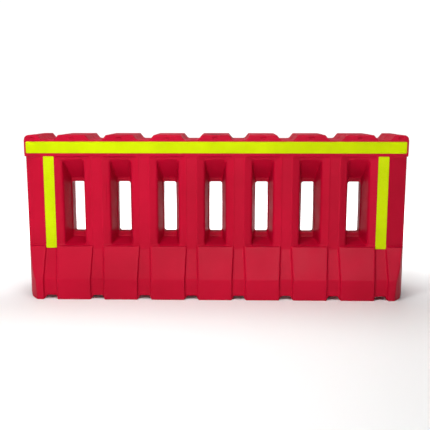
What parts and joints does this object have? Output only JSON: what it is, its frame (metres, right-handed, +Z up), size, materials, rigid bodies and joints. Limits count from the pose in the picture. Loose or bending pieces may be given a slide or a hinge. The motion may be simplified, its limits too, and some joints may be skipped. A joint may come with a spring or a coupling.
{
  "type": "water filled barrier",
  "caption": "Long hollow plastic road barrier with a row of tall through windows, flared ribbed feet, scalloped top, reflective tape, screw filler cap and drain plug.",
  "frame": {"origin": "on the ground below the middle of the barrier", "axes": "+X along the barrier to the right, +Y to the rear so that the front faces -Y, +Z up"},
  "size_m": [1.8, 0.4, 0.78],
  "materials": {
    "red_polyethylene": "semi-gloss moulded red polyethylene, slightly mottled",
    "reflective_tape": "fluorescent yellow-green retroreflective sheeting",
    "black_plastic": "moulded black polypropylene",
    "seal_rubber": "matte black rubber",
    "bush_brass": "turned brass, dulled"
  },
  "bodies": {
    "shell": {"barrier_shell": "red_polyethylene", "fill_neck": "red_polyethylene", "drain_bush": "bush_brass", "front_top_tape": "reflective_tape", "front_left_tape": "reflective_tape", "front_right_tape": "reflective_tape", "rear_top_tape": "reflective_tape", "rear_left_tape": "reflective_tape", "rear_right_tape": "reflective_tape"},
    "fill_seal": {"fill_seal": "seal_rubber"},
    "fill_cap": {"fill_cap": "black_plastic"},
    "drain_seal": {"drain_seal": "seal_rubber"},
    "drain_plug": {"drain_plug": "black_plastic"}
  },
  "joints": [
    {"name": "fill_cap_lift", "type": "slide", "parent": "shell", "child": "fill_seal", "axis": [0, 0, 1], "range_m": [0, 0.016]},
    {"name": "fill_cap_turn", "type": "hinge", "parent": "fill_seal", "child": "fill_cap", "pos_m": [0, 0, 0.772], "axis": [0, 0, 1], "range_deg": [0, 960]},
    {"name": "drain_plug_draw", "type": "slide", "parent": "shell", "child": "drain_seal", "axis": [0, 1, 0], "range_m": [0, 0.018]},
    {"name": "drain_plug_turn", "type": "hinge", "parent": "drain_seal", "child": "drain_plug", "pos_m": [0, 0.19, 0.053], "axis": [0, 1, 0], "range_deg": [0, 2160]}
  ],
  "couplings": [
    {"joint": "fill_cap_lift", "follows": "fill_cap_turn", "m_per_rad": 0.00095493},
    {"joint": "drain_plug_draw", "follows": "drain_plug_turn", "m_per_rad": 0.00047746}
  ]
}
